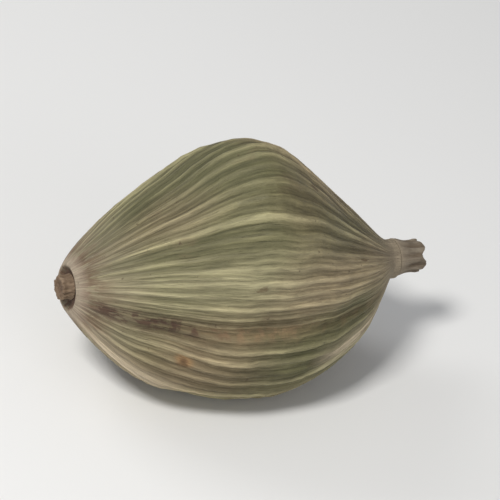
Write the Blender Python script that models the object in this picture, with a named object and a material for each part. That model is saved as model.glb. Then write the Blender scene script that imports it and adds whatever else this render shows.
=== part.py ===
"""Dried green cardamom pod, lying on its side on a small flat spot.

The husk is a plump capsule with three rounded lobes, a groove between each two, and raised
veins that run its whole length. The broken stalk stands in a dimple at one end, and the
withered calyx sits on the neck at the other.

The pod's axis runs along X with the calyx towards +X, and Z is up. Angles round the axis
are in degrees, start at +Y and pass +Z at 90.
"""

import math
import random

import bmesh
import bpy
from mathutils import Vector, noise

MM = 0.001

# Husk, measured along the axis from the belly, where it is thickest
BELLY_RADIUS = 4.80 * MM
STALK_SIDE = 6.4 * MM
SHOULDER_SIDE = 6.75 * MM
NECK_SIDE = 7.0 * MM
NECK_RADIUS = 0.74 * MM
SCAR_RIM_RADIUS = 0.85 * MM
SEAT_RADIUS = 0.60 * MM
SEAT_DEPTH = 0.16 * MM
STALK_END_POWER = 0.94
CALYX_END_POWER = 0.83
APEX_ROUNDING = 0.6 * MM  # of the humps' tops, along the axis
FULL_SHARE = 0.75  # share of the belly's radius at which relief has its full height

# Lobes and the grooves between them
GROOVE_ANGLES = (18.0, 174.0, 270.0)
LOBE_SIZES = (1.20, 0.92, 1.02)
LOBE_PEAKS = (1.08, 2.2, 1.85)  # a low value makes a pointed hump
MEAN_PEAK = 1.8
LOBE_RISE = 0.19
CREASE_DEPTH = 0.07
CREASE_WIDTH = 7.5
TWIST = 9.0

# Veins
VEINS = 54
VEIN_HEIGHT = 0.11 * MM
VEIN_SHARPNESS = 1.2
FAINTEST_VEIN = 0.55
VEIN_SWAY = 1.2
SWAY_PACE = 1.3
SWAY_STRETCH = 3.0

# Unevenness of the dried husk
SEED_BUMP = 0.13 * MM
SEED_SPACING = 2.6 * MM
AXIS_BOW = 0.30 * MM
DENTS = (  # place along the axis, angle, radius, depth
    (-4.1 * MM, 188.0, 0.95 * MM, 0.30 * MM),
    (-2.2 * MM, 236.0, 1.20 * MM, 0.16 * MM),
    (3.3 * MM, 128.0, 1.50 * MM, 0.16 * MM),
    (1.2 * MM, 15.0, 1.40 * MM, 0.18 * MM),
)

# Resting place
PITCH = 1.2
FLAT_DEPTH = 0.22 * MM
FLAT_EDGE = 0.05 * MM

# Calyx, a short tube, outlined from its foot over the torn mouth to the bottom of its hollow
CALYX_LENGTH = 1.2 * MM
CALYX_OUTLINE = (  # share of the length, radius, how deep the tears go there
    (0.00, 0.69 * MM, 0.0),
    (0.12, 0.68 * MM, 0.0),
    (0.36, 0.60 * MM, 0.0),
    (0.62, 0.58 * MM, 0.2),
    (0.84, 0.61 * MM, 0.6),
    (1.00, 0.58 * MM, 1.0),
    (0.96, 0.48 * MM, 1.0),
    (0.84, 0.43 * MM, 0.6),
    (0.48, 0.30 * MM, 0.0),
)
CALYX_TEETH = 5
CALYX_TEAR = 0.30 * MM
SHALLOWEST_TEAR = 0.4

# Stalk, a short stub, outlined from its foot to the middle of its broken end
STALK_LENGTH = 0.45 * MM
STALK_OUTLINE = (  # share of the length, radius
    (0.00, 0.48 * MM),
    (0.25, 0.43 * MM),
    (0.60, 0.40 * MM),
    (0.90, 0.44 * MM),
    (1.00, 0.37 * MM),
    (0.88, 0.19 * MM),
)
STALK_END = 0.84
STALK_BREAK = 0.05 * MM

# Gap between pieces that meet
JOINT_GAP = 0.03 * MM

# Fineness of the faceted solids
COLUMNS_PER_VEIN = 3
BODY_RINGS = 32
END_EASING = 0.55
SMALL_COLUMNS = 30
SHARP_ANGLE = 75.0

HUSK_SEED = 11
CALYX_SEED = 12
STALK_SEED = 13

# Colours and roughness
HUSK_GREEN = ((0.235, 0.215, 0.115), 0.62)
CALYX_STRAW = ((0.23, 0.165, 0.105), 0.8)
STALK_BROWN = ((0.15, 0.085, 0.05), 0.8)


def clear_scene():
    for obj in list(bpy.data.objects):
        bpy.data.objects.remove(obj, do_unlink=True)


def material(name, finish):
    colour, roughness = finish
    made = bpy.data.materials.new(name)
    made.use_nodes = True
    shader = made.node_tree.nodes["Principled BSDF"]
    shader.inputs["Base Color"].default_value = (*colour, 1.0)
    shader.inputs["Roughness"].default_value = roughness
    shader.inputs["Metallic"].default_value = 0.0
    return made


def lobe_at(angle):
    """The lobe at an angle, how far across it that is (0 to 1), and degrees to its nearer groove."""
    for lobe, start in enumerate(GROOVE_ANGLES):
        span = (GROOVE_ANGLES[(lobe + 1) % 3] - start) % 360
        past = (angle - start) % 360
        if past < span:
            break
    return lobe, past / span, min(past, span - past)


def crest_radius(x, peak):
    """Distance from the axis to a lobe's crest, at x along the axis."""
    end = STALK_SIDE if x < 0 else SHOULDER_SIDE
    reach = math.hypot(x, APEX_ROUNDING) - APEX_ROUNDING
    whole = math.hypot(end, APEX_ROUNDING) - APEX_ROUNDING
    fullness = max(0.0, 1 - (reach / whole) ** peak)
    if x < 0:
        return SCAR_RIM_RADIUS + (BELLY_RADIUS - SCAR_RIM_RADIUS) * fullness**STALK_END_POWER
    swollen = math.sqrt(BELLY_RADIUS**2 - NECK_RADIUS**2) * fullness**CALYX_END_POWER
    return math.hypot(swollen, NECK_RADIUS)


def dent_depth(x, angle, radius):
    depth = 0.0
    for place, where, width, deep in DENTS:
        across = radius * math.radians((angle - where + 180) % 360 - 180)
        depth += deep * math.exp(-((x - place) ** 2 + across**2) / width**2)
    return depth


def axis_bow(x):
    """How far the axis is off the straight line, towards +Y, at x."""
    return AXIS_BOW * (x / NECK_SIDE) ** 2


def vein_height(angle, sizes):
    """Height of the veins' ridges at an angle."""
    turn = angle * VEINS / 360
    ridge = ((1 + math.cos(2 * math.pi * turn)) / 2) ** VEIN_SHARPNESS
    return VEIN_HEIGHT * sizes[round(turn) % VEINS] * ridge


def vein_sway(x, angle):
    """Degrees that a vein strays sideways at x."""
    turn = math.radians(angle)
    along = SWAY_STRETCH * x / BELLY_RADIUS
    return VEIN_SWAY * noise.noise(SWAY_PACE * Vector((math.cos(turn), math.sin(turn), along)))


def husk_point(x, angle, vein_sizes):
    """A point of the husk at x along the axis and at an angle that stays with its vein."""
    lobe, across, from_groove = lobe_at(angle)
    crest = (1 - math.cos(2 * math.pi * across)) / 2
    radius = crest_radius(x, MEAN_PEAK + crest * (LOBE_PEAKS[lobe] - MEAN_PEAK))
    swell = min(1.0, max(0.0, radius - NECK_RADIUS) / (FULL_SHARE * BELLY_RADIUS))
    hollow = LOBE_RISE * (1 - crest) + crest * (1 - LOBE_SIZES[lobe])
    crease = CREASE_DEPTH * math.exp(-((from_groove / CREASE_WIDTH) ** 2))
    radius *= 1 - swell * (hollow + crease)

    twist = TWIST * x / (STALK_SIDE + NECK_SIDE)
    turned = math.radians(angle + twist + swell * vein_sway(x, angle))
    out = Vector((0, math.cos(turned), math.sin(turned)))
    bump = SEED_BUMP * noise.noise((Vector((x, 0, 0)) + out * radius) / SEED_SPACING)
    relief = bump + vein_height(angle, vein_sizes) - dent_depth(x, angle, radius)
    return Vector((x, axis_bow(x), 0)) + out * (radius + swell * relief)


def husk_stations():
    """Places along the axis of the body's rings, closer together towards both ends."""
    last = BODY_RINGS - 1
    for i in range(BODY_RINGS):
        even = i / last
        eased = (1 - math.cos(math.pi * even)) / 2
        share = even + END_EASING * (eased - even)
        yield -STALK_SIDE + (STALK_SIDE + NECK_SIDE) * share


def lay_down(point):
    """Tips the pod by its resting pitch, calyx down."""
    turn = math.radians(PITCH)
    x = point.x * math.cos(turn) + point.z * math.sin(turn)
    z = point.z * math.cos(turn) - point.x * math.sin(turn)
    return Vector((x, point.y, z))


def press_flat(points):
    """Flattens the lowest part of the husk to one level, with a soft edge, and returns that level."""
    floor = min(p.z for p in points) + FLAT_DEPTH
    for p in points:
        above = p.z - floor
        if above <= 0:
            p.z = floor
        elif above < 2 * FLAT_EDGE:
            p.z = floor + above**2 / (4 * FLAT_EDGE)
        else:
            p.z -= FLAT_EDGE
    return floor


def closed_tube(name, rings, first_centre, last_centre, skin):
    """A closed body through rings of points, with a fan of faces at each end."""
    mesh = bpy.data.meshes.new(name)
    bm = bmesh.new()
    loops = [[bm.verts.new(p) for p in ring] for ring in rings]
    for near, far in zip(loops, loops[1:]):
        for i in range(len(near)):
            j = (i + 1) % len(near)
            bm.faces.new((near[i], near[j], far[j], far[i]))
    for loop, centre, way in ((loops[0], first_centre, -1), (loops[-1], last_centre, 1)):
        hub = bm.verts.new(centre)
        for i in range(len(loop)):
            pair = (loop[i], loop[(i + 1) % len(loop)])
            bm.faces.new((hub, *pair[::way]))
    bmesh.ops.recalc_face_normals(bm, faces=bm.faces)
    bm.to_mesh(mesh)
    bm.free()
    mesh.shade_smooth()
    mesh.set_sharp_from_angle(angle=math.radians(SHARP_ANGLE))
    mesh.materials.append(skin)
    obj = bpy.data.objects.new(name, mesh)
    bpy.context.scene.collection.objects.link(obj)
    return obj


def ring_of(x, radius, columns, offset):
    """A round ring across the axis."""
    turns = [2 * math.pi * i / columns for i in range(columns)]
    return [Vector((x, offset + radius * math.cos(t), radius * math.sin(t))) for t in turns]


def make_husk(skin):
    """The husk, pressed flat where it rests, and the level of that flat."""
    draw = random.Random(HUSK_SEED)
    vein_sizes = [draw.uniform(FAINTEST_VEIN, 1.0) for _ in range(VEINS)]
    columns = COLUMNS_PER_VEIN * VEINS
    angles = [360 * i / columns for i in range(columns)]
    body = [[husk_point(x, angle, vein_sizes) for angle in angles] for x in husk_stations()]
    seat_x = -STALK_SIDE + SEAT_DEPTH
    bow = axis_bow(-STALK_SIDE)
    seat = ring_of(seat_x, SEAT_RADIUS, columns, bow)
    rings = [[lay_down(p) for p in ring] for ring in [seat, *body]]
    floor = press_flat([p for ring in rings for p in ring])
    seat_centre = lay_down(Vector((seat_x, bow, 0)))
    neck_centre = lay_down(Vector((NECK_SIDE, axis_bow(NECK_SIDE), 0)))
    for centre in (seat_centre, neck_centre):
        centre.z -= FLAT_EDGE
    return closed_tube("husk", rings, seat_centre, neck_centre, skin), floor


def make_calyx(skin):
    """A withered tube with a torn rim and a blind hollow, standing on the neck."""
    draw = random.Random(CALYX_SEED)
    foot = NECK_SIDE + JOINT_GAP
    bow = axis_bow(NECK_SIDE)
    tears = [draw.uniform(SHALLOWEST_TEAR, 1.0) for _ in range(CALYX_TEETH)]
    rings = []
    for share, radius, torn in CALYX_OUTLINE:
        ring = ring_of(foot + share * CALYX_LENGTH, radius, SMALL_COLUMNS, bow)
        for i, p in enumerate(ring):
            turn = i / SMALL_COLUMNS * CALYX_TEETH
            gash = (1 + math.cos(2 * math.pi * turn)) / 2
            p.x -= torn * CALYX_TEAR * gash * tears[round(turn) % CALYX_TEETH]
        rings.append([lay_down(p) for p in ring])
    bottom = foot + CALYX_OUTLINE[-1][0] * CALYX_LENGTH
    base_centre = lay_down(Vector((foot, bow, 0)))
    bottom_centre = lay_down(Vector((bottom, bow, 0)))
    return closed_tube("calyx", rings, base_centre, bottom_centre, skin)


def make_stalk(skin):
    """A short woody stub, broken off unevenly, standing in the dimple of the scar."""
    draw = random.Random(STALK_SEED)
    foot = -STALK_SIDE + SEAT_DEPTH - JOINT_GAP
    bow = axis_bow(-STALK_SIDE)
    breaks = [draw.uniform(-STALK_BREAK, STALK_BREAK) for _ in range(SMALL_COLUMNS)]
    rings = []
    for share, radius in STALK_OUTLINE:
        ring = ring_of(foot - share * STALK_LENGTH, radius, SMALL_COLUMNS, bow)
        for p, jag in zip(ring, breaks):
            p.x += jag * share
        rings.append([lay_down(p) for p in ring])
    base_centre = lay_down(Vector((foot, bow, 0)))
    end_centre = lay_down(Vector((foot - STALK_END * STALK_LENGTH, bow, 0)))
    return closed_tube("stalk", rings, base_centre, end_centre, skin)


def stand_on_origin(pieces, floor):
    """Puts the pieces over the middle of their common box, resting at height 0."""
    points = [v.co for obj in pieces for v in obj.data.vertices]
    middle = [(min(p[i] for p in points) + max(p[i] for p in points)) / 2 for i in (0, 1)]
    hub = bpy.data.objects.new("pod_origin", None)
    bpy.context.scene.collection.objects.link(hub)
    hub.location = (-middle[0], -middle[1], -floor)
    for obj in pieces:
        obj.parent = hub


def main():
    clear_scene()
    husk, floor = make_husk(material("husk_green", HUSK_GREEN))
    calyx = make_calyx(material("calyx_straw", CALYX_STRAW))
    stalk = make_stalk(material("stalk_brown", STALK_BROWN))
    for piece in (calyx, stalk):
        for v in piece.data.vertices:
            v.co.z -= FLAT_EDGE
    stand_on_origin((husk, calyx, stalk), floor)


main()
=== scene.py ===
"""Looks of a dried green cardamom pod: veined husk, withered calyx and broken stalk."""

import math
import random

import bpy
from mathutils import Matrix, Vector, noise


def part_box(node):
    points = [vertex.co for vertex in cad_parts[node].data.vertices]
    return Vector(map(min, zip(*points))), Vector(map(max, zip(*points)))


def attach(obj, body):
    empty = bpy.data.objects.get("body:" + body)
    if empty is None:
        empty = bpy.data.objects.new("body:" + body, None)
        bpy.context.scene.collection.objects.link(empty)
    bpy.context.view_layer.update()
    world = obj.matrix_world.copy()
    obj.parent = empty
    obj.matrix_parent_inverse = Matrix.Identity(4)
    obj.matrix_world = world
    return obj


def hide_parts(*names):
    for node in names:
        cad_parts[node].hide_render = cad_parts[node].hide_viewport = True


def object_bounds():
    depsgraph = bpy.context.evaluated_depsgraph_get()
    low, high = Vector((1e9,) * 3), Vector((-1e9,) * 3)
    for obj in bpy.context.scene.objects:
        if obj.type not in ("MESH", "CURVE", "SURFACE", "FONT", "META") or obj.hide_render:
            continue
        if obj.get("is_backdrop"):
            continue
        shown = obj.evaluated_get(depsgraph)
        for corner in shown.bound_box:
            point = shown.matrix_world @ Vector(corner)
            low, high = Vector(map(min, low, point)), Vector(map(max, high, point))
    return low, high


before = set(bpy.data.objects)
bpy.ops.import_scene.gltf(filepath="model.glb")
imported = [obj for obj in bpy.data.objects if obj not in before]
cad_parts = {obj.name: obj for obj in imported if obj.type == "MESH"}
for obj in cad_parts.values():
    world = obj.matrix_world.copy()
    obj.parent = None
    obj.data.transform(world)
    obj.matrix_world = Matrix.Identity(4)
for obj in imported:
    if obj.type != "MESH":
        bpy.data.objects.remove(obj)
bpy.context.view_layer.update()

MM = 0.001

# Husk, measured along its axis from the belly
BELLY_RADIUS = 4.80 * MM
STALK_SIDE = 6.4 * MM
SHOULDER_SIDE = 6.75 * MM
NECK_SIDE = 7.0 * MM
AXIS_LENGTH = STALK_SIDE + NECK_SIDE
NECK_RADIUS = 0.74 * MM
SCAR_RIM_RADIUS = 0.85 * MM
SEAT_RADIUS = 0.60 * MM
SEAT_DEPTH = 0.16 * MM
STALK_END_POWER = 0.94
CALYX_END_POWER = 0.83
APEX_ROUNDING = 0.6 * MM  # of the humps' tops, along the axis
FULL_SHARE = 0.75  # share of the belly's radius at which relief has its full height

# Lobes and the grooves between them
GROOVE_ANGLES = (18.0, 174.0, 270.0)
LOBE_SIZES = (1.20, 0.92, 1.02)
LOBE_PEAKS = (1.08, 2.2, 1.85)  # a low value makes a pointed hump
MEAN_PEAK = 1.8
LOBE_RISE = 0.19
CREASE_DEPTH = 0.07
CREASE_WIDTH = 7.5
TWIST = 9.0

# Bands of another tone that run beside each groove: place and width, in degrees
# pale band: partly the skin's own straw, partly painted highlight where the lobe's edge catches light
PALE_BAND_AND_HIGHLIGHT = (-27.0, 14.0)
# brown band: partly a brown stain, partly painted shade in the groove
BROWN_BAND = (3.0, 4.5)
BROWN_SPREAD = 1.8  # how much wider the brown band is at the stalk end
BROWN_WIDE_END = 0.32  # where it has its own width, along the pod

# The noise is 0 at whole numbers, so it is read this far from them
OFF_LATTICE = 0.5

# Turn of the skin from green to straw
WARMTH = 0.40
WARMTH_SPREAD = 1.0
WARMTH_PACE = 1.7
WARMTH_STRETCH = 2.2
WARMTH_LAYER = (0.0, 0.0, 4.4)  # where in the noise it is read
STALK_WARMTH = (-0.8, 1.2, 0.4)  # how much more straw each lobe is towards the stalk

# Tones of the veins, from dull to pale
MEAN_TONE = 0.5
TONE_DRIFT = 1.2  # how much a vein's tone changes along it
DRIFT_PACE = 3.3
DRIFT_STEP = 5.37  # in the noise, from a vein to the next
TONE_SPREAD = 1.2  # how much one vein's tone differs from another's
SPREAD_STEP = 3.71
SPREAD_LAYER = 9.3
TONE_STEEPNESS = 2.0  # how quickly a vein's tone goes over into the next one's

# Painted rim highlights along the lower outline, and small spots
PAINTED_RIM_HIGHLIGHTS = (  # angle, and where along the pod it starts and stops
    (223.0, -0.08, 0.30),
    (199.0, 0.62, 1.02),
)
RIM_HIGHLIGHT_WIDTH = 7.0
BLEMISHES = (  # place along the pod, angle, radius
    (0.25, 198.0, 0.20 * MM),
    (0.56, 60.0, 0.22 * MM),
    (0.72, 330.0, 0.30 * MM),
)

# Veins, each with a fainter one beside it
VEINS = 54
VEIN_HEIGHT = 0.15 * MM
VEIN_SINK = 0.035 * MM  # how far the skin between the veins has shrunk
END_FIBRE_HEIGHT = 0.018 * MM  # of the veins where they run together at the ends
VEIN_SHARPNESS = 2.0
FAINTEST_VEIN = 0.55
VEIN_FADE = 0.55  # how unevenly a vein rises along its length
VEIN_PACE = 0.3  # changes a millimetre along the axis
VEIN_STEP = 2.3  # in the noise, from a vein to the next
SIDE_VEIN_SHARE = 0.42
SIDE_VEIN_SHARPNESS = 3.0
SIDE_VEIN_MEAN = 0.6
SIDE_VEIN_FADE = 0.6
SIDE_VEIN_PACE = 0.35
SIDE_VEIN_STEP = 1.7
SIDE_VEIN_RIDGE = 1.2  # how much it counts as a ridge, for its height
VEIN_SWAY = 1.2
SWAY_PACE = 1.3
SWAY_STRETCH = 3.0
HUSK_SEED = 11

# Unevenness of the dried husk
SEED_BUMP = 0.13 * MM
SEED_SPACING = 2.6 * MM
AXIS_BOW = 0.30 * MM
DENTS = (  # place along the axis, angle, radius, depth
    (-4.1 * MM, 188.0, 0.95 * MM, 0.30 * MM),
    (-2.2 * MM, 236.0, 1.20 * MM, 0.16 * MM),
    (3.3 * MM, 128.0, 1.50 * MM, 0.16 * MM),
    (1.2 * MM, 15.0, 1.40 * MM, 0.18 * MM),
)
WRINKLES = (  # height, waves a millimetre along the axis, waves a millimetre across it
    (0.034 * MM, 0.35, 2.0),
    (0.022 * MM, 2.6, 0.9),
    (0.016 * MM, 4.2, 2.6),
)

# Resting place
PITCH = 1.2
FLAT_DEPTH = 0.22 * MM
FLAT_EDGE = 0.05 * MM

# Fineness of the husk
HUSK_COLUMNS = 324
HUSK_RINGS = 300
NECK_RINGS = 4
SEAT_RINGS = 14
BODY_RINGS = HUSK_RINGS - NECK_RINGS - SEAT_RINGS
END_EASING = 0.5

# Calyx, outlined from its foot over the torn mouth to the bottom of its hollow
CALYX_LENGTH = 1.2 * MM
CALYX_OUTLINE = (  # share of the length, radius
    (0.00, 0.73 * MM),
    (0.12, 0.69 * MM),
    (0.36, 0.60 * MM),
    (0.62, 0.58 * MM),
    (0.84, 0.60 * MM),
    (1.00, 0.59 * MM),
    (0.97, 0.52 * MM),
    (0.84, 0.47 * MM),
    (0.48, 0.33 * MM),
    (0.42, 0.12 * MM),
)
CALYX_FOOT_RING = 0.30 * MM  # part-way across the closed foot
CALYX_HOLLOW = 0.54 * MM  # the hollow's wall is nearer the axis than this
HOLLOW_BOTTOM = 0.4  # share of the length, just below the hollow
CALYX_FOOT = 0.45  # share of the length over which its tone goes over into the husk's
CALYX_COLUMNS = 180
CALYX_RELIEF_RADIUS = 0.40 * MM  # inside this, relief fades towards the axis
CALYX_FOLDS = 11
CALYX_FOLD_DEPTH = 0.132 * MM
CALYX_FOLD_END = 1.15  # share of the length at which the folds would have run out
CALYX_FOLD_SWING = 0.3  # how unevenly the folds are spaced
FOLD_SPAN = 3.0  # of a fold's values, over which its mask goes from 0 to 1
CRUMPLE = 0.9  # how far the folds are crumpled, for their own depth
CRUMPLE_ALONG = 2.2
CRUMPLE_ROUND = 3.0
CALYX_TEETH = 5
CALYX_TEAR = 0.30 * MM
TEAR_START = 0.5  # share of the length
TEAR_EASING = 1.5
SHALLOWEST_TEAR = 0.4
TEAR_GASHES = 0.75
TEAR_RAGGEDNESS = 0.3
RAGS = (  # share of the raggedness, rags for each turn, layer of the noise
    (0.50, 9.0, 4.0),
    (0.35, 38.0, 1.0),
)
CALYX_SEED = 12

# Stalk, outlined from its foot to the middle of its broken end
STALK_LENGTH = 0.45 * MM
STALK_OUTLINE = (  # share of the length, radius
    (0.00, 0.48 * MM),
    (0.25, 0.44 * MM),
    (0.60, 0.41 * MM),
    (0.90, 0.43 * MM),
    (1.00, 0.36 * MM),
    (0.90, 0.19 * MM),
    (0.84, 0.06 * MM),
)
STALK_FOOT_RING = 0.25 * MM
STALK_COLUMNS = 120
STALK_RELIEF_RADIUS = 0.30 * MM
STALK_BUNDLES = 11
STALK_BUNDLE_HEIGHT = 0.035 * MM
STALK_BUNDLE_GROWTH = 1.5  # how soon the bundles have their full height, from the foot
STALK_BUNDLE_SWING = 0.4  # how unevenly they are spaced
STALK_BREAK = 0.06 * MM  # height of the splinters
BREAK_START = 0.55  # share of the length
BREAK_SPAN = 0.30
BREAK_RADIUS = 0.45 * MM  # of the broken face, for its darker middle
SPLINTERS = (  # share of the height, splinters a millimetre, layer of the noise
    (1.0, 7.0, 3.0),
    (0.5, 19.0, 0.0),
)

# Gap between pieces that meet, and steps between two points of an outline
JOINT_GAP = 0.03 * MM
OUTLINE_STEPS = 5
WELD = 0.0005 * MM

# Radius that a piece has all along in its flow coordinates, in millimetres, so its fibres stay even
HUSK_FLOW = 4.0
CALYX_FLOW = 0.6

# Fibre sets: size, and the levels of noise that the mask runs between
FIBRE_SETS = {
    "Coarse": (1.0, 0.34, 0.66),
    "Fine": (3.0, 0.36, 0.64),
    "Hair": (7.0, 0.36, 0.64),
}
SPECK_WOBBLE = 0.22  # how far noise pulls a speck out of round
SPECK_CORE = 0.6  # share of a speck's radius that is dark all over

# Colours of the husk
# Between the veins: partly the skin's own green, partly painted shade in the hollows
VALLEY_GREEN_AND_SHADE, VALLEY_STRAW_AND_SHADE = (0.092, 0.088, 0.038), (0.145, 0.108, 0.058)
DULL_GREEN, DULL_STRAW = (0.172, 0.160, 0.076), (0.260, 0.204, 0.118)
VEIN_GREEN, VEIN_STRAW = (0.445, 0.405, 0.222), (0.565, 0.455, 0.275)
# Pale band: partly straw skin, partly painted highlight
BAND_STRAW_AND_HIGHLIGHT, BAND_AMBER_AND_HIGHLIGHT = (0.490, 0.440, 0.262), (0.560, 0.440, 0.268)
WORN_BROWN = (0.160, 0.115, 0.066)
END_STRAW, END_MARK = (0.330, 0.276, 0.196), (0.150, 0.080, 0.048)
# Painted highlight: cream rim along the lower outline
RIM_HIGHLIGHT_CREAM = (0.780, 0.650, 0.460)
# Groove band: partly a brown stain, partly painted shade in the groove
GROOVE_STAIN_AND_SHADE_DARK, GROOVE_STAIN_AND_SHADE_PALE = (0.085, 0.048, 0.030), (0.270, 0.180, 0.098)
RIM_STRAW, DIMPLE_BROWN = (0.410, 0.336, 0.250), (0.085, 0.044, 0.027)
NECK_STRAW, NECK_GREY = (0.430, 0.345, 0.220), (0.270, 0.222, 0.160)
BLEMISH_RUST, BLEMISH_CORE = (0.310, 0.180, 0.078), (0.120, 0.062, 0.028)
SPOT_BROWN, DOT_BROWN = (0.100, 0.058, 0.026), (0.070, 0.045, 0.024)

# Colours of the calyx and the stalk
PAPER_DARK, PAPER_PALE = (0.150, 0.122, 0.088), (0.290, 0.244, 0.184)
# The fold colour is painted shade in the inward folds
PAPER_FIBRE, FOLD_PAINTED_SHADE = (0.100, 0.074, 0.050), (0.110, 0.078, 0.050)
# Painted shade, darkest deep in the hollow
HOLLOW_PAINTED_SHADE = (0.052, 0.028, 0.018)
WOOD_DARK, WOOD_PALE = (0.210, 0.145, 0.092), (0.340, 0.248, 0.165)
WOOD_FIBRE, WOOD_FACE = (0.080, 0.048, 0.030), (0.120, 0.072, 0.046)

# Depths of the relief that only the materials show
HUSK_FIBRE_DEPTHS = {"Coarse": 0.034 * MM, "Fine": 0.028 * MM, "Hair": 0.012 * MM}
GRAIN_DEPTH = 0.016 * MM
CALYX_FIBRE_DEPTHS = {"Coarse": 0.020 * MM, "Fine": 0.008 * MM}
STALK_FIBRE_DEPTH = 0.030 * MM

# Sockets of the Mix node that are used for colours
MIX_SHARE, MIX_FIRST, MIX_SECOND, MIX_RESULT = 0, 6, 7, 2

# Camera, seen as in the photograph
AZIMUTH = -31.0
ELEVATION = 34.0
ROLL = 12.7
LENS = 200.0
SENSOR = 36.0
VIEW_WIDTH = 18.4 * MM
CLIP_END = 2.0

# Studio
FLOOR_RADIUS = 0.34
FLOOR_CORNERS = 96
FLOOR_DROP = 0.006 * MM
FLOOR_COLOUR = (0.80, 0.80, 0.79, 1.0)
LIGHTS = (  # name, azimuth, elevation, distance, size, power, colour
    ("key", -66.0, 54.0, 0.16, 0.035, 0.185, (1.0, 0.985, 0.96)),
    ("fill", 16.0, 16.0, 0.18, 0.12, 0.076, (1.0, 0.99, 0.97)),
    ("rim", -150.0, 38.0, 0.17, 0.08, 0.065, (1.0, 1.0, 1.0)),
)
ROOM_COLOUR = (0.93, 0.95, 1.0, 1.0)
ROOM_STRENGTH = 0.28


def start_fresh():
    """Leaves edit mode and deselects everything, so the next operator acts on new work alone."""
    if bpy.context.object and bpy.context.object.mode != "OBJECT":
        bpy.ops.object.mode_set(mode="OBJECT")
    bpy.ops.object.select_all(action="DESELECT")


def clamp(value):
    """A value kept between 0 and 1."""
    return min(1.0, max(0.0, value))


def degrees_past(angle, where):
    """Degrees from one angle to another, the short way round."""
    return (angle - where + 180) % 360 - 180


def outward(turned):
    """The direction straight out from the pod's axis, at an angle in radians."""
    return Vector((0, math.cos(turned), math.sin(turned)))


def lobe_at(angle):
    """The lobe at an angle, how far across it that is (0 to 1), and degrees to its nearer groove."""
    for lobe, start in enumerate(GROOVE_ANGLES):
        span = (GROOVE_ANGLES[(lobe + 1) % 3] - start) % 360
        past = (angle - start) % 360
        if past < span:
            break
    return lobe, past / span, min(past, span - past)


def crest_radius(x, peak):
    """Distance from the axis to a lobe's crest, at x along the axis."""
    end = STALK_SIDE if x < 0 else SHOULDER_SIDE
    reach = math.hypot(x, APEX_ROUNDING) - APEX_ROUNDING
    whole = math.hypot(end, APEX_ROUNDING) - APEX_ROUNDING
    fullness = max(0.0, 1 - (reach / whole) ** peak)
    if x < 0:
        return SCAR_RIM_RADIUS + (BELLY_RADIUS - SCAR_RIM_RADIUS) * fullness**STALK_END_POWER
    swollen = math.sqrt(BELLY_RADIUS**2 - NECK_RADIUS**2) * fullness**CALYX_END_POWER
    return math.hypot(swollen, NECK_RADIUS)


def band_at(angle, band, wider=1.0):
    """How deep an angle is in a band beside the nearest groove, from 0 to 1."""
    place, width = band
    nearest = min(abs(degrees_past(angle - groove, place)) for groove in GROOVE_ANGLES)
    return math.exp(-((nearest / (width * wider)) ** 2))


def vein_tone(along, angle):
    """How pale a vein is at a place, from 0 to 1: each has its own tone, which drifts along it."""
    turn = angle * VEINS / 360
    near = math.floor(turn)
    share = clamp(0.5 + TONE_STEEPNESS * (turn - near - 0.5))
    tone = MEAN_TONE
    for vein, weight in ((near % VEINS, 1 - share), ((near + 1) % VEINS, share)):
        drift = noise.noise(Vector((DRIFT_PACE * along, DRIFT_STEP * vein, OFF_LATTICE)))
        spread = noise.noise(Vector((OFF_LATTICE, SPREAD_STEP * vein, SPREAD_LAYER)))
        tone += weight * (TONE_DRIFT * drift + TONE_SPREAD * spread)
    return clamp(tone)


def painted_rim_highlight_at(along, angle):
    """How deep a place is in a painted rim highlight along the lobes' lower outline, from 0 to 1."""
    depth = 0.0
    for where, start, stop in PAINTED_RIM_HIGHLIGHTS:
        aside = degrees_past(angle, where) / RIM_HIGHLIGHT_WIDTH
        share = (along - start) / (stop - start)
        if 0 < share < 1:
            depth = max(depth, math.exp(-aside**2) * math.sin(math.pi * share))
    return depth


def warmth_at(along, angle):
    """How much the skin has turned from green to straw at a place, from 0 to 1."""
    lobe, across, _ = lobe_at(angle)
    place = Vector((WARMTH_STRETCH * along, 0, 0)) + outward(math.radians(angle))
    warmth = WARMTH + WARMTH_SPREAD * noise.noise(WARMTH_PACE * place + Vector(WARMTH_LAYER))
    warmth += STALK_WARMTH[lobe] * (0.5 - along) * math.sin(math.pi * across)
    return clamp(warmth)


def blemish_at(along, angle):
    """How deep a place is in a small spot, from 0 to 1."""
    depth = 0.0
    for where, around_it, radius in BLEMISHES:
        off_x = (along - where) * AXIS_LENGTH
        off_y = BELLY_RADIUS * math.radians(degrees_past(angle, around_it))
        depth = max(depth, 1 - math.hypot(off_x, off_y) / (2 * radius))
    return depth


def skin_at(along, angle, ridge):
    """What the husk's material reads at a place."""
    wider = 1 + BROWN_SPREAD * clamp(1 - along / BROWN_WIDE_END)
    return {
        "ridge": ridge,
        "pale_band_and_highlight": band_at(angle, PALE_BAND_AND_HIGHLIGHT),
        "brown_band": band_at(angle, BROWN_BAND, wider),
        "tone": vein_tone(along, angle),
        "warmth": warmth_at(along, angle),
        "blemish": blemish_at(along, angle),
        "painted_rim_highlight": painted_rim_highlight_at(along, angle),
        "along": along,
    }


def dent_depth(x, angle, radius):
    """How deep the husk is dented at a place."""
    depth = 0.0
    for place, where, width, deep in DENTS:
        across = radius * math.radians(degrees_past(angle, where))
        depth += deep * math.exp(-((x - place) ** 2 + across**2) / width**2)
    return depth


def axis_bow(x):
    """How far the axis is off the straight line, towards +Y, at x."""
    return AXIS_BOW * (x / NECK_SIDE) ** 2


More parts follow.
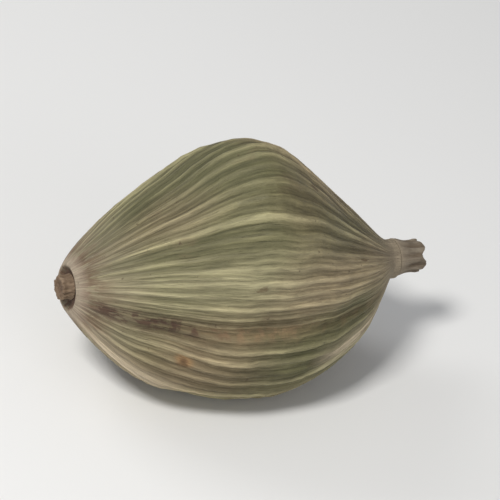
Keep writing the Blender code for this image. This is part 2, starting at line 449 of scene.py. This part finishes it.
def vein_ridges(x, angle, sizes):
    """Height of the veins at a place, and how much it is a ridge, from 0 to 1."""
    turn = angle * VEINS / 360
    vein = round(turn) % VEINS
    wave = (1 + math.cos(math.tau * turn)) / 2
    rise = 1 + VEIN_FADE * noise.noise(Vector((VEIN_PACE * x / MM, 0, VEIN_STEP * vein)))
    main = wave**VEIN_SHARPNESS * sizes[vein] * rise
    place = Vector((SIDE_VEIN_PACE * x / MM, SIDE_VEIN_STEP * round(turn - 0.5), 0))
    side_rise = max(0.0, SIDE_VEIN_MEAN + SIDE_VEIN_FADE * noise.noise(place))
    side = (1 - wave) ** SIDE_VEIN_SHARPNESS * SIDE_VEIN_SHARE * side_rise
    return VEIN_HEIGHT * (main + side), min(1.0, main + SIDE_VEIN_RIDGE * side)


def vein_sway(x, angle):
    """Degrees that a vein strays sideways at x."""
    turned = math.radians(angle)
    along = SWAY_STRETCH * x / BELLY_RADIUS
    return VEIN_SWAY * noise.noise(SWAY_PACE * Vector((math.cos(turned), math.sin(turned), along)))


def wrinkles(x, out, radius):
    """Shrinkage wrinkles of the drying skin."""
    side = out * radius / MM
    return sum(
        height * noise.noise(Vector((along * x / MM, across * side.y, across * side.z)))
        for height, along, across in WRINKLES
    )


def husk_point(x, angle, vein_sizes):
    """A point of the husk, and how much it is a vein's ridge."""
    lobe, across, from_groove = lobe_at(angle)
    crest = (1 - math.cos(math.tau * across)) / 2
    radius = crest_radius(x, MEAN_PEAK + crest * (LOBE_PEAKS[lobe] - MEAN_PEAK))
    swell = clamp((radius - NECK_RADIUS) / (FULL_SHARE * BELLY_RADIUS))
    hollow = LOBE_RISE * (1 - crest) + crest * (1 - LOBE_SIZES[lobe])
    crease = math.exp(-((from_groove / CREASE_WIDTH) ** 2))
    radius *= 1 - swell * (hollow + CREASE_DEPTH * crease)

    out = outward(math.radians(angle + TWIST * x / AXIS_LENGTH + swell * vein_sway(x, angle)))
    bulge = SEED_BUMP * noise.noise((Vector((x, 0, 0)) + out * radius) / SEED_SPACING)
    height, ridge = vein_ridges(x, angle, vein_sizes)
    relief = bulge + height - VEIN_SINK + wrinkles(x, out, radius) - dent_depth(x, angle, radius)
    relief = swell * relief + (1 - swell) * END_FIBRE_HEIGHT * ridge
    return Vector((x, axis_bow(x), 0)) + out * (radius + relief), ridge


def seat_point(share, angle):
    """A point of the scar: 1 is on its rim and 0 in the middle of the dimple."""
    drop = 1 - clamp((share * SCAR_RIM_RADIUS - SEAT_RADIUS) / (SCAR_RIM_RADIUS - SEAT_RADIUS))
    depth = SEAT_DEPTH * drop * drop * (3 - 2 * drop)
    out = outward(math.radians(angle - TWIST * STALK_SIDE / AXIS_LENGTH))
    return Vector((-STALK_SIDE + depth, axis_bow(-STALK_SIDE), 0)) + out * share * SCAR_RIM_RADIUS


def place_on_husk(ring, angle, vein_sizes):
    """A point by its ring and angle, how much it is a ridge, and how far it is down the scar."""
    if ring > HUSK_RINGS - SEAT_RINGS:
        sunk = 1 - (HUSK_RINGS - ring) / SEAT_RINGS
        return seat_point(1 - sunk, angle), 0.0, sunk
    if ring < NECK_RINGS:
        middle = Vector((NECK_SIDE, axis_bow(NECK_SIDE), 0))
        edge = husk_point(NECK_SIDE, angle, vein_sizes)[0]
        return middle.lerp(edge, ring / NECK_RINGS), 0.0, 0.0
    even = 1 - (ring - NECK_RINGS) / BODY_RINGS
    eased = (1 - math.cos(math.pi * even)) / 2
    x = -STALK_SIDE + AXIS_LENGTH * (even + END_EASING * (eased - even))
    return *husk_point(x, angle, vein_sizes), 0.0


def lay_down(point):
    """Tips the pod by its resting pitch, calyx down."""
    turn = math.radians(PITCH)
    x = point.x * math.cos(turn) + point.z * math.sin(turn)
    z = point.z * math.cos(turn) - point.x * math.sin(turn)
    return Vector((x, point.y, z))


def press_flat(points):
    """Flattens the lowest part of the husk to one level, with a soft edge."""
    floor = min(p.z for p in points) + FLAT_DEPTH
    for p in points:
        above = p.z - floor
        if above <= 0:
            p.z = floor
        elif above < 2 * FLAT_EDGE:
            p.z = floor + above**2 / (4 * FLAT_EDGE)
        else:
            p.z -= FLAT_EDGE


def place_of(points):
    """The step that puts the husk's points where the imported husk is."""
    low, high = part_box("husk")
    middle = (min(p.y for p in points) + max(p.y for p in points)) / 2
    return Vector((
        low.x - min(p.x for p in points),
        (low.y + high.y) / 2 - middle,
        low.z - min(p.z for p in points),
    ))


def store(mesh, name, values):
    """Keeps a number for each point, for the material to read."""
    mesh.attributes.new(name, "FLOAT", "POINT").data.foreach_set("value", values)


def store_flow(mesh, places):
    """Keeps each point's place along the fibres and across them, three numbers a point."""
    mesh.attributes.new("flow", "FLOAT_VECTOR", "POINT").data.foreach_set("vector", places)


def grow_husk():
    """The veined husk, and the step from the pod's own frame to its place on the surface."""
    start_fresh()
    bpy.ops.mesh.primitive_uv_sphere_add(segments=HUSK_COLUMNS, ring_count=HUSK_RINGS, radius=1.0)
    husk = bpy.context.object
    husk.name = husk.data.name = "husk_skin"
    draw = random.Random(HUSK_SEED)
    vein_sizes = [draw.uniform(FAINTEST_VEIN, 1.0) for _ in range(VEINS)]
    points, skins, flow = [], [], []
    for v in husk.data.vertices:
        ring = round(math.acos(max(-1.0, min(1.0, v.co.z))) / math.pi * HUSK_RINGS)
        angle = math.degrees(math.atan2(v.co.y, v.co.x))
        point, ridge, sunk = place_on_husk(ring, angle, vein_sizes)
        skins.append(skin_at((point.x + STALK_SIDE) / AXIS_LENGTH - sunk, angle, ridge))
        side = HUSK_FLOW * outward(math.radians(angle))
        flow += [point.x / MM, side.y, side.z]
        points.append(lay_down(point))
    press_flat(points)
    step = place_of(points)
    for v, point in zip(husk.data.vertices, points):
        v.co = point + step
    for name in skins[0]:
        store(husk.data, name, [skin[name] for skin in skins])
    store_flow(husk.data, flow)
    bpy.ops.object.shade_smooth()
    return husk, step


def smooth_outline(outline):
    """More points along an outline, on a curve through the ones given."""
    made = []
    last = len(outline) - 1
    for i in range(last):
        before, here, there, after = (outline[max(0, min(last, j))] for j in range(i - 1, i + 3))
        for k in range(OUTLINE_STEPS):
            t = k / OUTLINE_STEPS
            made.append([
                b + (c - a) * t / 2 + (2 * a - 5 * b + 4 * c - d) * t**2 / 2
                + (3 * b - a - 3 * c + d) * t**3 / 2
                for a, b, c, d in zip(before, here, there, after)
            ])
    return [*made, list(outline[-1])]


def stub_profile(foot, length, outline, foot_ring):
    """A stub's whole profile as (x, radius), from the middle of its foot to the middle of its end."""
    curve = smooth_outline(outline)
    closed = [(0.0, 0.0), (0.0, foot_ring), *curve, (curve[-1][0], 0.0)]
    return [(foot + share * length, max(0.0, radius)) for share, radius in closed]


def turn_piece(name, profile, columns):
    """Draws a profile of (x, radius) by extruding a point, and spins it round the pod's axis."""
    start_fresh()
    bpy.ops.mesh.primitive_plane_add(size=MM, location=(profile[0][0], 0, profile[0][1]))
    piece = bpy.context.object
    piece.name = piece.data.name = name
    bpy.ops.object.transform_apply(location=True, rotation=False, scale=False)
    bpy.ops.object.mode_set(mode="EDIT")
    bpy.ops.mesh.select_all(action="SELECT")
    bpy.ops.mesh.merge(type="CENTER")
    for near, far in zip(profile, profile[1:]):
        step = (far[0] - near[0], 0, far[1] - near[1])
        bpy.ops.mesh.extrude_region_move(TRANSFORM_OT_translate={"value": step})
    bpy.ops.mesh.select_all(action="SELECT")
    bpy.ops.mesh.spin(steps=columns, angle=math.tau, center=(0, 0, 0), axis=(1, 0, 0))
    bpy.ops.mesh.select_all(action="SELECT")
    bpy.ops.mesh.remove_doubles(threshold=WELD)
    bpy.ops.mesh.normals_make_consistent(inside=False)
    bpy.ops.object.mode_set(mode="OBJECT")
    bpy.ops.object.shade_smooth()
    return piece


def around(co):
    """The angle of a point round the pod's axis, in turns from 0 to 1, and its radius."""
    return math.atan2(co.z, co.y) / math.tau % 1.0, math.hypot(co.y, co.z)


def calyx_fold(share, turn):
    """How far the withered calyx is folded outwards at a place, or inwards below 0."""
    swung = CALYX_FOLDS * turn + CALYX_FOLD_SWING * math.sin(math.tau * turn)
    place = Vector((CRUMPLE_ALONG * share, 0, 0)) + CRUMPLE_ROUND * outward(math.tau * turn)
    return math.cos(math.tau * swung) + CRUMPLE * noise.noise(place)


def calyx_tear(share, turn, tears):
    """How much is torn off the calyx at a place, along its axis."""
    gash = (1 + math.cos(math.tau * CALYX_TEETH * turn)) / 2
    gash *= tears[round(CALYX_TEETH * turn) % CALYX_TEETH]
    rags = [much * noise.noise(Vector((pace * turn, layer, 0))) for much, pace, layer in RAGS]
    torn = clamp((share - TEAR_START) / (1 - TEAR_START)) ** TEAR_EASING
    return CALYX_TEAR * torn * (TEAR_GASHES * gash + TEAR_RAGGEDNESS * (0.5 + sum(rags)))


def grow_calyx(step):
    """A withered, folded tube with a torn rim and a hollow that its material darkens with painted shade.
    """
    foot = NECK_SIDE + JOINT_GAP
    profile = stub_profile(foot, CALYX_LENGTH, CALYX_OUTLINE, CALYX_FOOT_RING)
    calyx = turn_piece("calyx_tube", profile, CALYX_COLUMNS)
    draw = random.Random(CALYX_SEED)
    tears = [draw.uniform(SHALLOWEST_TEAR, 1.0) for _ in range(CALYX_TEETH)]
    bow = Vector((0, axis_bow(NECK_SIDE), 0))
    depths, feet, folds, flow = [], [], [], []
    for v in calyx.data.vertices:
        turn, radius = around(v.co)
        share = (v.co.x - foot) / CALYX_LENGTH
        fold = calyx_fold(share, turn)
        wall = min(1.0, radius / CALYX_RELIEF_RADIUS)
        grown = radius + wall * share * (CALYX_FOLD_END - share) * CALYX_FOLD_DEPTH * fold
        scale = grown / radius if radius > WELD else 1.0
        # how deep a point is in the hollow, for the painted shade there
        inner = 1.0 if radius < CALYX_HOLLOW and share > HOLLOW_BOTTOM else 0.0
        depths.append(inner * (1 - share))
        feet.append((1 - inner) * max(0.0, 1 - share / CALYX_FOOT))
        folds.append(0.5 + fold / FOLD_SPAN)
        side = CALYX_FLOW * outward(math.tau * turn)
        flow += [share * CALYX_LENGTH / MM, side.y, side.z]
        x = v.co.x - calyx_tear(share, turn, tears)
        v.co = lay_down(Vector((x, v.co.y * scale, v.co.z * scale)) + bow) + step
    store(calyx.data, "depth", depths)
    store(calyx.data, "foot", feet)
    store(calyx.data, "fold", folds)
    store_flow(calyx.data, flow)
    return calyx


def grow_stalk(step):
    """A woody stub of fibre bundles, broken off unevenly."""
    foot = -STALK_SIDE + SEAT_DEPTH - JOINT_GAP
    profile = stub_profile(foot, -STALK_LENGTH, STALK_OUTLINE, STALK_FOOT_RING)
    stalk = turn_piece("stalk_stub", profile, STALK_COLUMNS)
    bow = Vector((0, axis_bow(-STALK_SIDE), 0))
    depths, flow = [], []
    for v in stalk.data.vertices:
        turn, radius = around(v.co)
        share = (foot - v.co.x) / STALK_LENGTH
        side = outward(math.tau * turn)
        across = side * radius / MM
        swung = STALK_BUNDLES * turn + STALK_BUNDLE_SWING * math.sin(2 * math.tau * turn)
        relief = STALK_BUNDLE_HEIGHT * math.cos(math.tau * swung)
        relief *= min(1.0, radius / STALK_RELIEF_RADIUS) * min(1.0, STALK_BUNDLE_GROWTH * share)
        end = clamp((share - BREAK_START) / BREAK_SPAN)
        splinter = sum(
            height * noise.noise(pace * across + Vector((layer, 0, 0)))
            for height, pace, layer in SPLINTERS
        )
        depths.append(end * (1 - radius / BREAK_RADIUS))
        flow += [share * STALK_LENGTH / MM, across.y, across.z]
        x = v.co.x - end * STALK_BREAK * splinter
        v.co = lay_down(Vector((x, 0, 0)) + side * (radius + relief) + bow) + step
    store(stalk.data, "depth", depths)
    store_flow(stalk.data, flow)
    return stalk


def join(tree, made, inputs):
    """Sets a node's inputs, named or numbered, or joins them to the sockets given."""
    for name, value in inputs.items():
        if isinstance(value, bpy.types.NodeSocket):
            tree.links.new(value, made.inputs[name])
        else:
            made.inputs[name].default_value = value


def node(tree, kind, inputs=None, **options):
    """Adds a node, sets its options, and sets or joins its inputs."""
    made = tree.nodes.new(kind)
    for name, value in options.items():
        setattr(made, name, value)
    join(tree, made, inputs or {})
    return made


def mix(tree, share, first, second, blend="MIX"):
    """Mixes two colours and gives the result's socket."""
    made = node(tree, "ShaderNodeMix", data_type="RGBA", blend_type=blend, clamp_factor=True)
    first, second = (c if isinstance(c, bpy.types.NodeSocket) else (*c, 1.0) for c in (first, second))
    join(tree, made, {MIX_SHARE: share, MIX_FIRST: first, MIX_SECOND: second})
    return made.outputs[MIX_RESULT]


def ramp(tree, value, low, high, to_low=0.0, to_high=1.0):
    """Maps a value from one range to another, without passing its ends."""
    inputs = {"Value": value, "From Min": low, "From Max": high, "To Min": to_low, "To Max": to_high}
    return node(tree, "ShaderNodeMapRange", inputs, clamp=True).outputs["Result"]


def between(tree, mask, low, high):
    """Maps a mask, from 0 to 1, to a range."""
    return ramp(tree, mask, 0.0, 1.0, low, high)


def calculate(tree, operation, first, second):
    """The result of one sum on two values."""
    return node(tree, "ShaderNodeMath", {0: first, 1: second}, operation=operation).outputs[0]


def times(tree, first, *others):
    """Multiplies two values or more."""
    for other in others:
        first = calculate(tree, "MULTIPLY", first, other)
    return first


def attribute(tree, name, output="Fac"):
    """A number or a place that the piece's points carry."""
    return node(tree, "ShaderNodeAttribute", attribute_name=name).outputs[output]


def new_group(name, inputs, outputs):
    """An empty shader group with its sockets, and the sockets to build between."""
    tree = bpy.data.node_groups.new(name, "ShaderNodeTree")
    for label, kind, value in inputs:
        socket = tree.interface.new_socket(label, in_out="INPUT", socket_type=kind)
        if value is not None:
            socket.default_value = value
    for label in outputs:
        tree.interface.new_socket(label, in_out="OUTPUT", socket_type="NodeSocketFloat")
    start = tree.nodes.new("NodeGroupInput")
    end = tree.nodes.new("NodeGroupOutput")
    return tree, start.outputs, end.inputs


def fibre_group():
    """Fibres that run with the veins: a coarse set, a fine one and hairs."""
    tree, given, out = new_group(
        "plant fibres",
        (
            ("Flow", "NodeSocketVector", None),
            ("Waves across", "NodeSocketFloat", 6.0),
            ("Waves along", "NodeSocketFloat", 0.5),
        ),
        tuple(FIBRE_SETS),
    )
    scale = node(tree, "ShaderNodeCombineXYZ", {
        "X": given["Waves along"], "Y": given["Waves across"], "Z": given["Waves across"],
    })
    inputs = {0: given["Flow"], 1: scale.outputs[0]}
    stretched = node(tree, "ShaderNodeVectorMath", inputs, operation="MULTIPLY").outputs[0]
    for name, (size, low, high) in FIBRE_SETS.items():
        texture = node(
            tree, "ShaderNodeTexNoise",
            {"Vector": stretched, "Scale": size, "Detail": 3.0, "Roughness": 0.6},
        )
        tree.links.new(ramp(tree, texture.outputs["Fac"], low, high), out[name])
    return tree


def blotch_group():
    """Soft patches where the skin dried to another tone."""
    tree, given, out = new_group(
        "drying blotches",
        (
            ("Place", "NodeSocketVector", None),
            ("Waves", "NodeSocketFloat", 0.4),
            ("Cover", "NodeSocketFloat", 0.5),
            ("Edge", "NodeSocketFloat", 0.12),
        ),
        ("Mask",),
    )
    texture = node(tree, "ShaderNodeTexNoise", {
        "Vector": given["Place"], "Scale": given["Waves"], "Detail": 5.0, "Roughness": 0.62,
        "Distortion": 0.4,
    })
    level = calculate(tree, "SUBTRACT", 1.0, given["Cover"])
    low = calculate(tree, "SUBTRACT", level, given["Edge"])
    high = calculate(tree, "ADD", level, given["Edge"])
    tree.links.new(ramp(tree, texture.outputs["Fac"], low, high), out["Mask"])
    return tree


def speck_group():
    """Small dark specks of uneven size and outline, missing in places."""
    tree, given, out = new_group(
        "skin specks",
        (
            ("Place", "NodeSocketVector", None),
            ("Specks a millimetre", "NodeSocketFloat", 1.4),
            ("Size", "NodeSocketFloat", 0.16),
            ("Rarity", "NodeSocketFloat", 0.5),
        ),
        ("Mask",),
    )
    wobble = node(tree, "ShaderNodeTexNoise", {"Vector": given["Place"], "Scale": 7.0, "Detail": 3.0})
    inputs = {0: wobble.outputs["Color"], 1: (SPECK_WOBBLE,) * 3, 2: given["Place"]}
    shifted = node(tree, "ShaderNodeVectorMath", inputs, operation="MULTIPLY_ADD").outputs[0]
    cells = node(
        tree, "ShaderNodeTexVoronoi",
        {"Vector": shifted, "Scale": given["Specks a millimetre"]},
    )
    tone = node(tree, "ShaderNodeSeparateColor", {0: cells.outputs["Color"]}).outputs[0]
    size = times(tree, given["Size"], ramp(tree, tone, given["Rarity"], 1.0))
    core = times(tree, size, SPECK_CORE)
    tree.links.new(ramp(tree, cells.outputs["Distance"], core, size, 1.0, 0.0), out["Mask"])
    return tree


def use(tree, group, inputs):
    """Places a shader group with its own values and gives its outputs."""
    return node(tree, "ShaderNodeGroup", inputs, node_tree=group).outputs


def new_material(name):
    """A material with its tree, its shader, and the object's coordinates in millimetres."""
    made = bpy.data.materials.new(name)
    made.use_nodes = True
    tree = made.node_tree
    place = node(tree, "ShaderNodeTexCoord").outputs["Object"]
    scaled = node(tree, "ShaderNodeVectorMath", {0: place, 1: (1 / MM,) * 3}, operation="MULTIPLY")
    return made, tree, tree.nodes["Principled BSDF"], scaled.outputs[0]


def bump(tree, height, depth, under=None):
    """A bump of a real depth, on top of another where one is given."""
    inputs = {"Height": height, "Distance": depth, "Strength": 1.0}
    if under is not None:
        inputs["Normal"] = under
    return node(tree, "ShaderNodeBump", inputs).outputs["Normal"]


def vein_colours(tree, ridge, coarse):
    """The skin between the veins and the veins on it, each from green to straw; the skin between the
    veins is darker, partly its own green and partly painted shade in the hollows.
    """
    warmth = attribute(tree, "warmth")
    # darker between the veins: partly the skin's own green, partly painted shade in the hollows
    valley_and_shade = mix(tree, warmth, VALLEY_GREEN_AND_SHADE, VALLEY_STRAW_AND_SHADE)
    dull = mix(tree, warmth, DULL_GREEN, DULL_STRAW)
    bright = mix(tree, warmth, VEIN_GREEN, VEIN_STRAW)
    crest = mix(tree, attribute(tree, "tone"), dull, bright)
    rise = times(tree, ramp(tree, ridge, 0.08, 0.62), between(tree, coarse, 0.55, 1.0))
    return mix(tree, rise, valley_and_shade, crest)


def pale_band_and_highlights(tree, skin, ridge, along, coarse):
    """The straw strip beside each groove, amber towards the calyx: partly the skin's own straw, partly
    painted highlight where the lobe's edge catches light.
    """
    straw = mix(tree, ramp(tree, along, 0.42, 0.70), BAND_STRAW_AND_HIGHLIGHT, BAND_AMBER_AND_HIGHLIGHT)
    light = times(tree, attribute(tree, "pale_band_and_highlight"), between(tree, coarse, 0.3, 0.9))
    light = times(tree, light, ramp(tree, ridge, 0.0, 0.5, 0.3, 1.0))
    return mix(tree, light, skin, straw)


def stalk_end(tree, skin, along, coarse, mottle):
    """The paler skin near the scar, with brown marks."""
    end = times(tree, ramp(tree, along, 0.01, 0.17, 0.85, 0.0), between(tree, coarse, 0.4, 1.0))
    skin = mix(tree, end, skin, END_STRAW)
    marks = times(tree, ramp(tree, along, 0.015, 0.085, 0.8, 0.0), mottle)
    return mix(tree, marks, skin, END_MARK)


def brown_grooves(tree, skin, along, dots):
    """The dark dotted grooves, paler towards the calyx: partly a brown stain, partly painted shade in the
    grooves.
    """
    groove_stain_and_shade = mix(tree, ramp(tree, along, 0.26, 0.40), GROOVE_STAIN_AND_SHADE_DARK, GROOVE_STAIN_AND_SHADE_PALE)
    dark = times(tree, ramp(tree, along, 0.0, 0.05), ramp(tree, along, 0.30, 0.70, 1.0, 0.35))
    dark = times(tree, attribute(tree, "brown_band"), dark, between(tree, dots, 0.35, 1.0))
    return mix(tree, dark, skin, groove_stain_and_shade)


def scar_colours(tree, skin, along):
    """The scar's pale rim and its dark dimple."""
    rim = times(tree, ramp(tree, along, -0.10, 0.0), ramp(tree, along, 0.008, 0.030, 1.0, 0.0))
    skin = mix(tree, times(tree, rim, 0.85), skin, RIM_STRAW)
    return mix(tree, ramp(tree, along, -0.30, -0.10, 0.92, 0.0), skin, DIMPLE_BROWN)


def blemish_spots(tree, skin, coarse):
    """Small rusty spots, darker in the middle."""
    blemish = attribute(tree, "blemish")
    rusty = times(tree, ramp(tree, blemish, 0.0, 0.55), between(tree, coarse, 0.5, 0.95))
    skin = mix(tree, rusty, skin, BLEMISH_RUST)
    return mix(tree, ramp(tree, blemish, 0.55, 0.85, 0.0, 0.75), skin, BLEMISH_CORE)


def fibre_shades(tree, skin, fibre):
    """Lighter and darker fibres."""
    shade = times(tree, between(tree, fibre["Fine"], 0.72, 1.14), between(tree, fibre["Hair"], 0.86, 1.1))
    grey = node(tree, "ShaderNodeCombineColor", {0: shade, 1: shade, 2: shade}).outputs[0]
    return mix(tree, 1.0, skin, grey, "MULTIPLY")


def dark_specks(tree, skin, specks, place, count, size, rarity, colour):
    """Specks, so many to a millimetre."""
    inputs = {"Place": place, "Specks a millimetre": count, "Size": size, "Rarity": rarity}
    mask = use(tree, specks, inputs)["Mask"]
    return mix(tree, times(tree, mask, 0.6), skin, colour)


def husk_relief(tree, place, along, fibre):
    """Fibres and grain too fine for the mesh, calmer towards both ends."""
    calm = times(tree, ramp(tree, along, 0.0, 0.20, 0.35, 1.0), ramp(tree, along, 0.86, 0.98, 1.0, 0.40))
    normal = None
    for name, depth in HUSK_FIBRE_DEPTHS.items():
        normal = bump(tree, times(tree, fibre[name], calm), depth, normal)
    grain = node(tree, "ShaderNodeTexNoise", {"Vector": place, "Scale": 9.0, "Detail": 4.0})
    return bump(tree, grain.outputs["Fac"], GRAIN_DEPTH, normal)


def husk_finish(fibres, blotches, specks):
    """Olive-green dry skin with straw veins and painted shade between them, a pale band at each groove
    that is partly painted highlight, a brown one that is partly painted shade, painted rim highlights,
    and pale ends.
    """
    made, tree, shader, place = new_material("husk dry green")
    flow = attribute(tree, "flow", "Vector")
    ridge, along = attribute(tree, "ridge"), attribute(tree, "along")
    fibre = use(tree, fibres, {"Flow": flow, "Waves across": 2.6, "Waves along": 0.22})
    coarse = fibre["Coarse"]
    inputs = {0: flow, 1: (0.5, 1.0, 1.0)}
    stretched = node(tree, "ShaderNodeVectorMath", inputs, operation="MULTIPLY").outputs[0]
    patch = use(tree, blotches, {"Place": stretched, "Waves": 0.9, "Cover": 0.38, "Edge": 0.05})["Mask"]
    mottle = use(tree, blotches, {"Place": flow, "Waves": 1.7, "Cover": 0.52, "Edge": 0.06})["Mask"]
    dots = use(tree, blotches, {"Place": flow, "Waves": 2.4, "Cover": 0.50, "Edge": 0.05})["Mask"]

    skin = vein_colours(tree, ridge, coarse)
    # pale band: partly straw skin, partly painted highlight
    skin = pale_band_and_highlights(tree, skin, ridge, along, coarse)
    worn = times(tree, patch, between(tree, fibre["Fine"], 0.1, 0.55))
    skin = mix(tree, worn, skin, WORN_BROWN)
    skin = stalk_end(tree, skin, along, coarse, mottle)
    # Painted highlight: a cream rim along the lower outline, in place of rim light
    edge = times(tree, attribute(tree, "painted_rim_highlight"), between(tree, coarse, 0.6, 1.0))
    skin = mix(tree, edge, skin, RIM_HIGHLIGHT_CREAM)
    # dark groove band: partly a brown stain, partly painted shade
    skin = brown_grooves(tree, skin, along, dots)
    skin = scar_colours(tree, skin, along)
    skin = mix(tree, ramp(tree, along, 0.80, 0.97, 0.0, 0.65), skin, NECK_STRAW)
    skin = blemish_spots(tree, skin, coarse)
    skin = fibre_shades(tree, skin, fibre)
    skin = dark_specks(tree, skin, specks, stretched, 0.8, 0.15, 0.45, SPOT_BROWN)
    skin = dark_specks(tree, skin, specks, place, 2.3, 0.17, 0.55, DOT_BROWN)
    skin = mix(tree, ramp(tree, along, 0.90, 0.975, 0.0, 0.8), skin, NECK_GREY)

    join(tree, shader, {
        "Base Color": skin,
        "Roughness": between(tree, ridge, 0.76, 0.54),
        "Normal": husk_relief(tree, place, along, fibre),
        "Specular IOR Level": 0.35,
    })
    return made


def calyx_finish(fibres, blotches):
    """Papery straw brown, with painted shade in the inward folds and deep in the hollow."""
    made, tree, shader, place = new_material("calyx dry paper")
    flow = attribute(tree, "flow", "Vector")
    fibre = use(tree, fibres, {"Flow": flow, "Waves across": 9.0, "Waves along": 1.2})
    patch = use(tree, blotches, {"Place": place, "Waves": 1.6, "Cover": 0.5, "Edge": 0.15})["Mask"]
    skin = mix(tree, patch, PAPER_DARK, PAPER_PALE)
    skin = mix(tree, between(tree, fibre["Coarse"], 0.0, 0.6), skin, PAPER_FIBRE)
    # painted shade in the inward folds
    skin = mix(tree, ramp(tree, attribute(tree, "fold"), 0.15, 0.70, 0.65, 0.0), skin, FOLD_PAINTED_SHADE)
    skin = mix(tree, between(tree, attribute(tree, "foot"), 0.0, 0.85), skin, NECK_GREY)
    # painted shade, darker deeper in the hollow
    skin = mix(tree, ramp(tree, attribute(tree, "depth"), 0.02, 0.42), skin, HOLLOW_PAINTED_SHADE)
    normal = None
    for name, depth in CALYX_FIBRE_DEPTHS.items():
        normal = bump(tree, fibre[name], depth, normal)
    join(tree, shader, {
        "Base Color": skin,
        "Roughness": between(tree, fibre["Fine"], 0.70, 0.85),
        "Normal": normal,
        "Specular IOR Level": 0.3,
    })
    return made


def stalk_finish(fibres, blotches):
    """Reddish-brown wood, darkest in the middle of its broken end."""
    made, tree, shader, place = new_material("stalk dry wood")
    flow = attribute(tree, "flow", "Vector")
    fibre = use(tree, fibres, {"Flow": flow, "Waves across": 11.0, "Waves along": 1.0})
    patch = use(tree, blotches, {"Place": place, "Waves": 2.2, "Cover": 0.5, "Edge": 0.15})["Mask"]
    skin = mix(tree, patch, WOOD_DARK, WOOD_PALE)
    skin = mix(tree, between(tree, fibre["Coarse"], 0.0, 0.5), skin, WOOD_FIBRE)
    skin = mix(tree, ramp(tree, attribute(tree, "depth"), 0.05, 0.6, 0.0, 0.6), skin, WOOD_FACE)
    join(tree, shader, {
        "Base Color": skin,
        "Roughness": between(tree, fibre["Fine"], 0.72, 0.88),
        "Normal": bump(tree, fibre["Coarse"], STALK_FIBRE_DEPTH),
        "Specular IOR Level": 0.3,
    })
    return made


def dress(piece, finish, node_name):
    """Gives a piece its finish and its place in the frame."""
    piece.data.materials.append(finish)
    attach(piece, "root")
    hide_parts(node_name)


def lay_floor():
    """A plain pale surface under the pod."""
    start_fresh()
    bpy.ops.mesh.primitive_circle_add(
        vertices=FLOOR_CORNERS, radius=FLOOR_RADIUS, fill_type="NGON", location=(0, 0, -FLOOR_DROP),
    )
    floor = bpy.context.object
    floor.name = "floor"
    pale = bpy.data.materials.new("floor pale")
    pale.use_nodes = True
    shader = pale.node_tree.nodes["Principled BSDF"]
    shader.inputs["Base Color"].default_value = FLOOR_COLOUR
    shader.inputs["Roughness"].default_value = 0.85
    floor.data.materials.append(pale)
    floor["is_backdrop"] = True


def direction(azimuth, elevation):
    """From the pod towards a viewer; azimuth 0 looks along +Y."""
    a, e = math.radians(azimuth), math.radians(elevation)
    return Vector((math.sin(a) * math.cos(e), -math.cos(a) * math.cos(e), math.sin(e)))


def add_light(name, azimuth, elevation, distance, size, power, colour):
    """A square soft light that faces the pod."""
    back = direction(azimuth, elevation)
    light = bpy.data.lights.new(name, "AREA")
    light.shape = "SQUARE"
    light.size = size
    light.energy = power
    light.color = colour
    lamp = bpy.data.objects.new(name, light)
    bpy.context.scene.collection.objects.link(lamp)
    lamp.location = back * distance
    lamp.rotation_euler = (-back).to_track_quat("-Z", "Y").to_euler()


def light_studio():
    """Three soft lights and a dim, even room."""
    for light in LIGHTS:
        add_light(*light)
    room = bpy.data.worlds.new("studio")
    room.use_nodes = True
    background = room.node_tree.nodes["Background"]
    background.inputs["Color"].default_value = ROOM_COLOUR
    background.inputs["Strength"].default_value = ROOM_STRENGTH
    bpy.context.scene.world = room
    bpy.context.scene.view_settings.view_transform = "Standard"


def aim_camera():
    """Looks down on the pod from its stalk end, tilted as it lies in the photograph."""
    low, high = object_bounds()
    middle = (low + high) / 2
    back = direction(AZIMUTH, ELEVATION)
    data = bpy.data.cameras.new("camera")
    data.lens = LENS
    data.sensor_width = SENSOR
    data.clip_start = MM
    data.clip_end = CLIP_END
    camera = bpy.data.objects.new("camera", data)
    bpy.context.scene.collection.objects.link(camera)
    camera.location = middle + back * (VIEW_WIDTH * LENS / SENSOR)
    facing = (-back).to_track_quat("-Z", "Y").to_matrix().to_4x4()
    turned = facing @ Matrix.Rotation(math.radians(ROLL), 4, "Z")
    camera.rotation_euler = turned.to_euler()
    bpy.context.scene.camera = camera


def main():
    husk, step = grow_husk()
    calyx = grow_calyx(step)
    stalk = grow_stalk(step)
    fibres, blotches, specks = fibre_group(), blotch_group(), speck_group()
    dress(husk, husk_finish(fibres, blotches, specks), "husk")
    dress(calyx, calyx_finish(fibres, blotches), "calyx")
    dress(stalk, stalk_finish(fibres, blotches), "stalk")
    lay_floor()
    light_studio()
    aim_camera()


main()
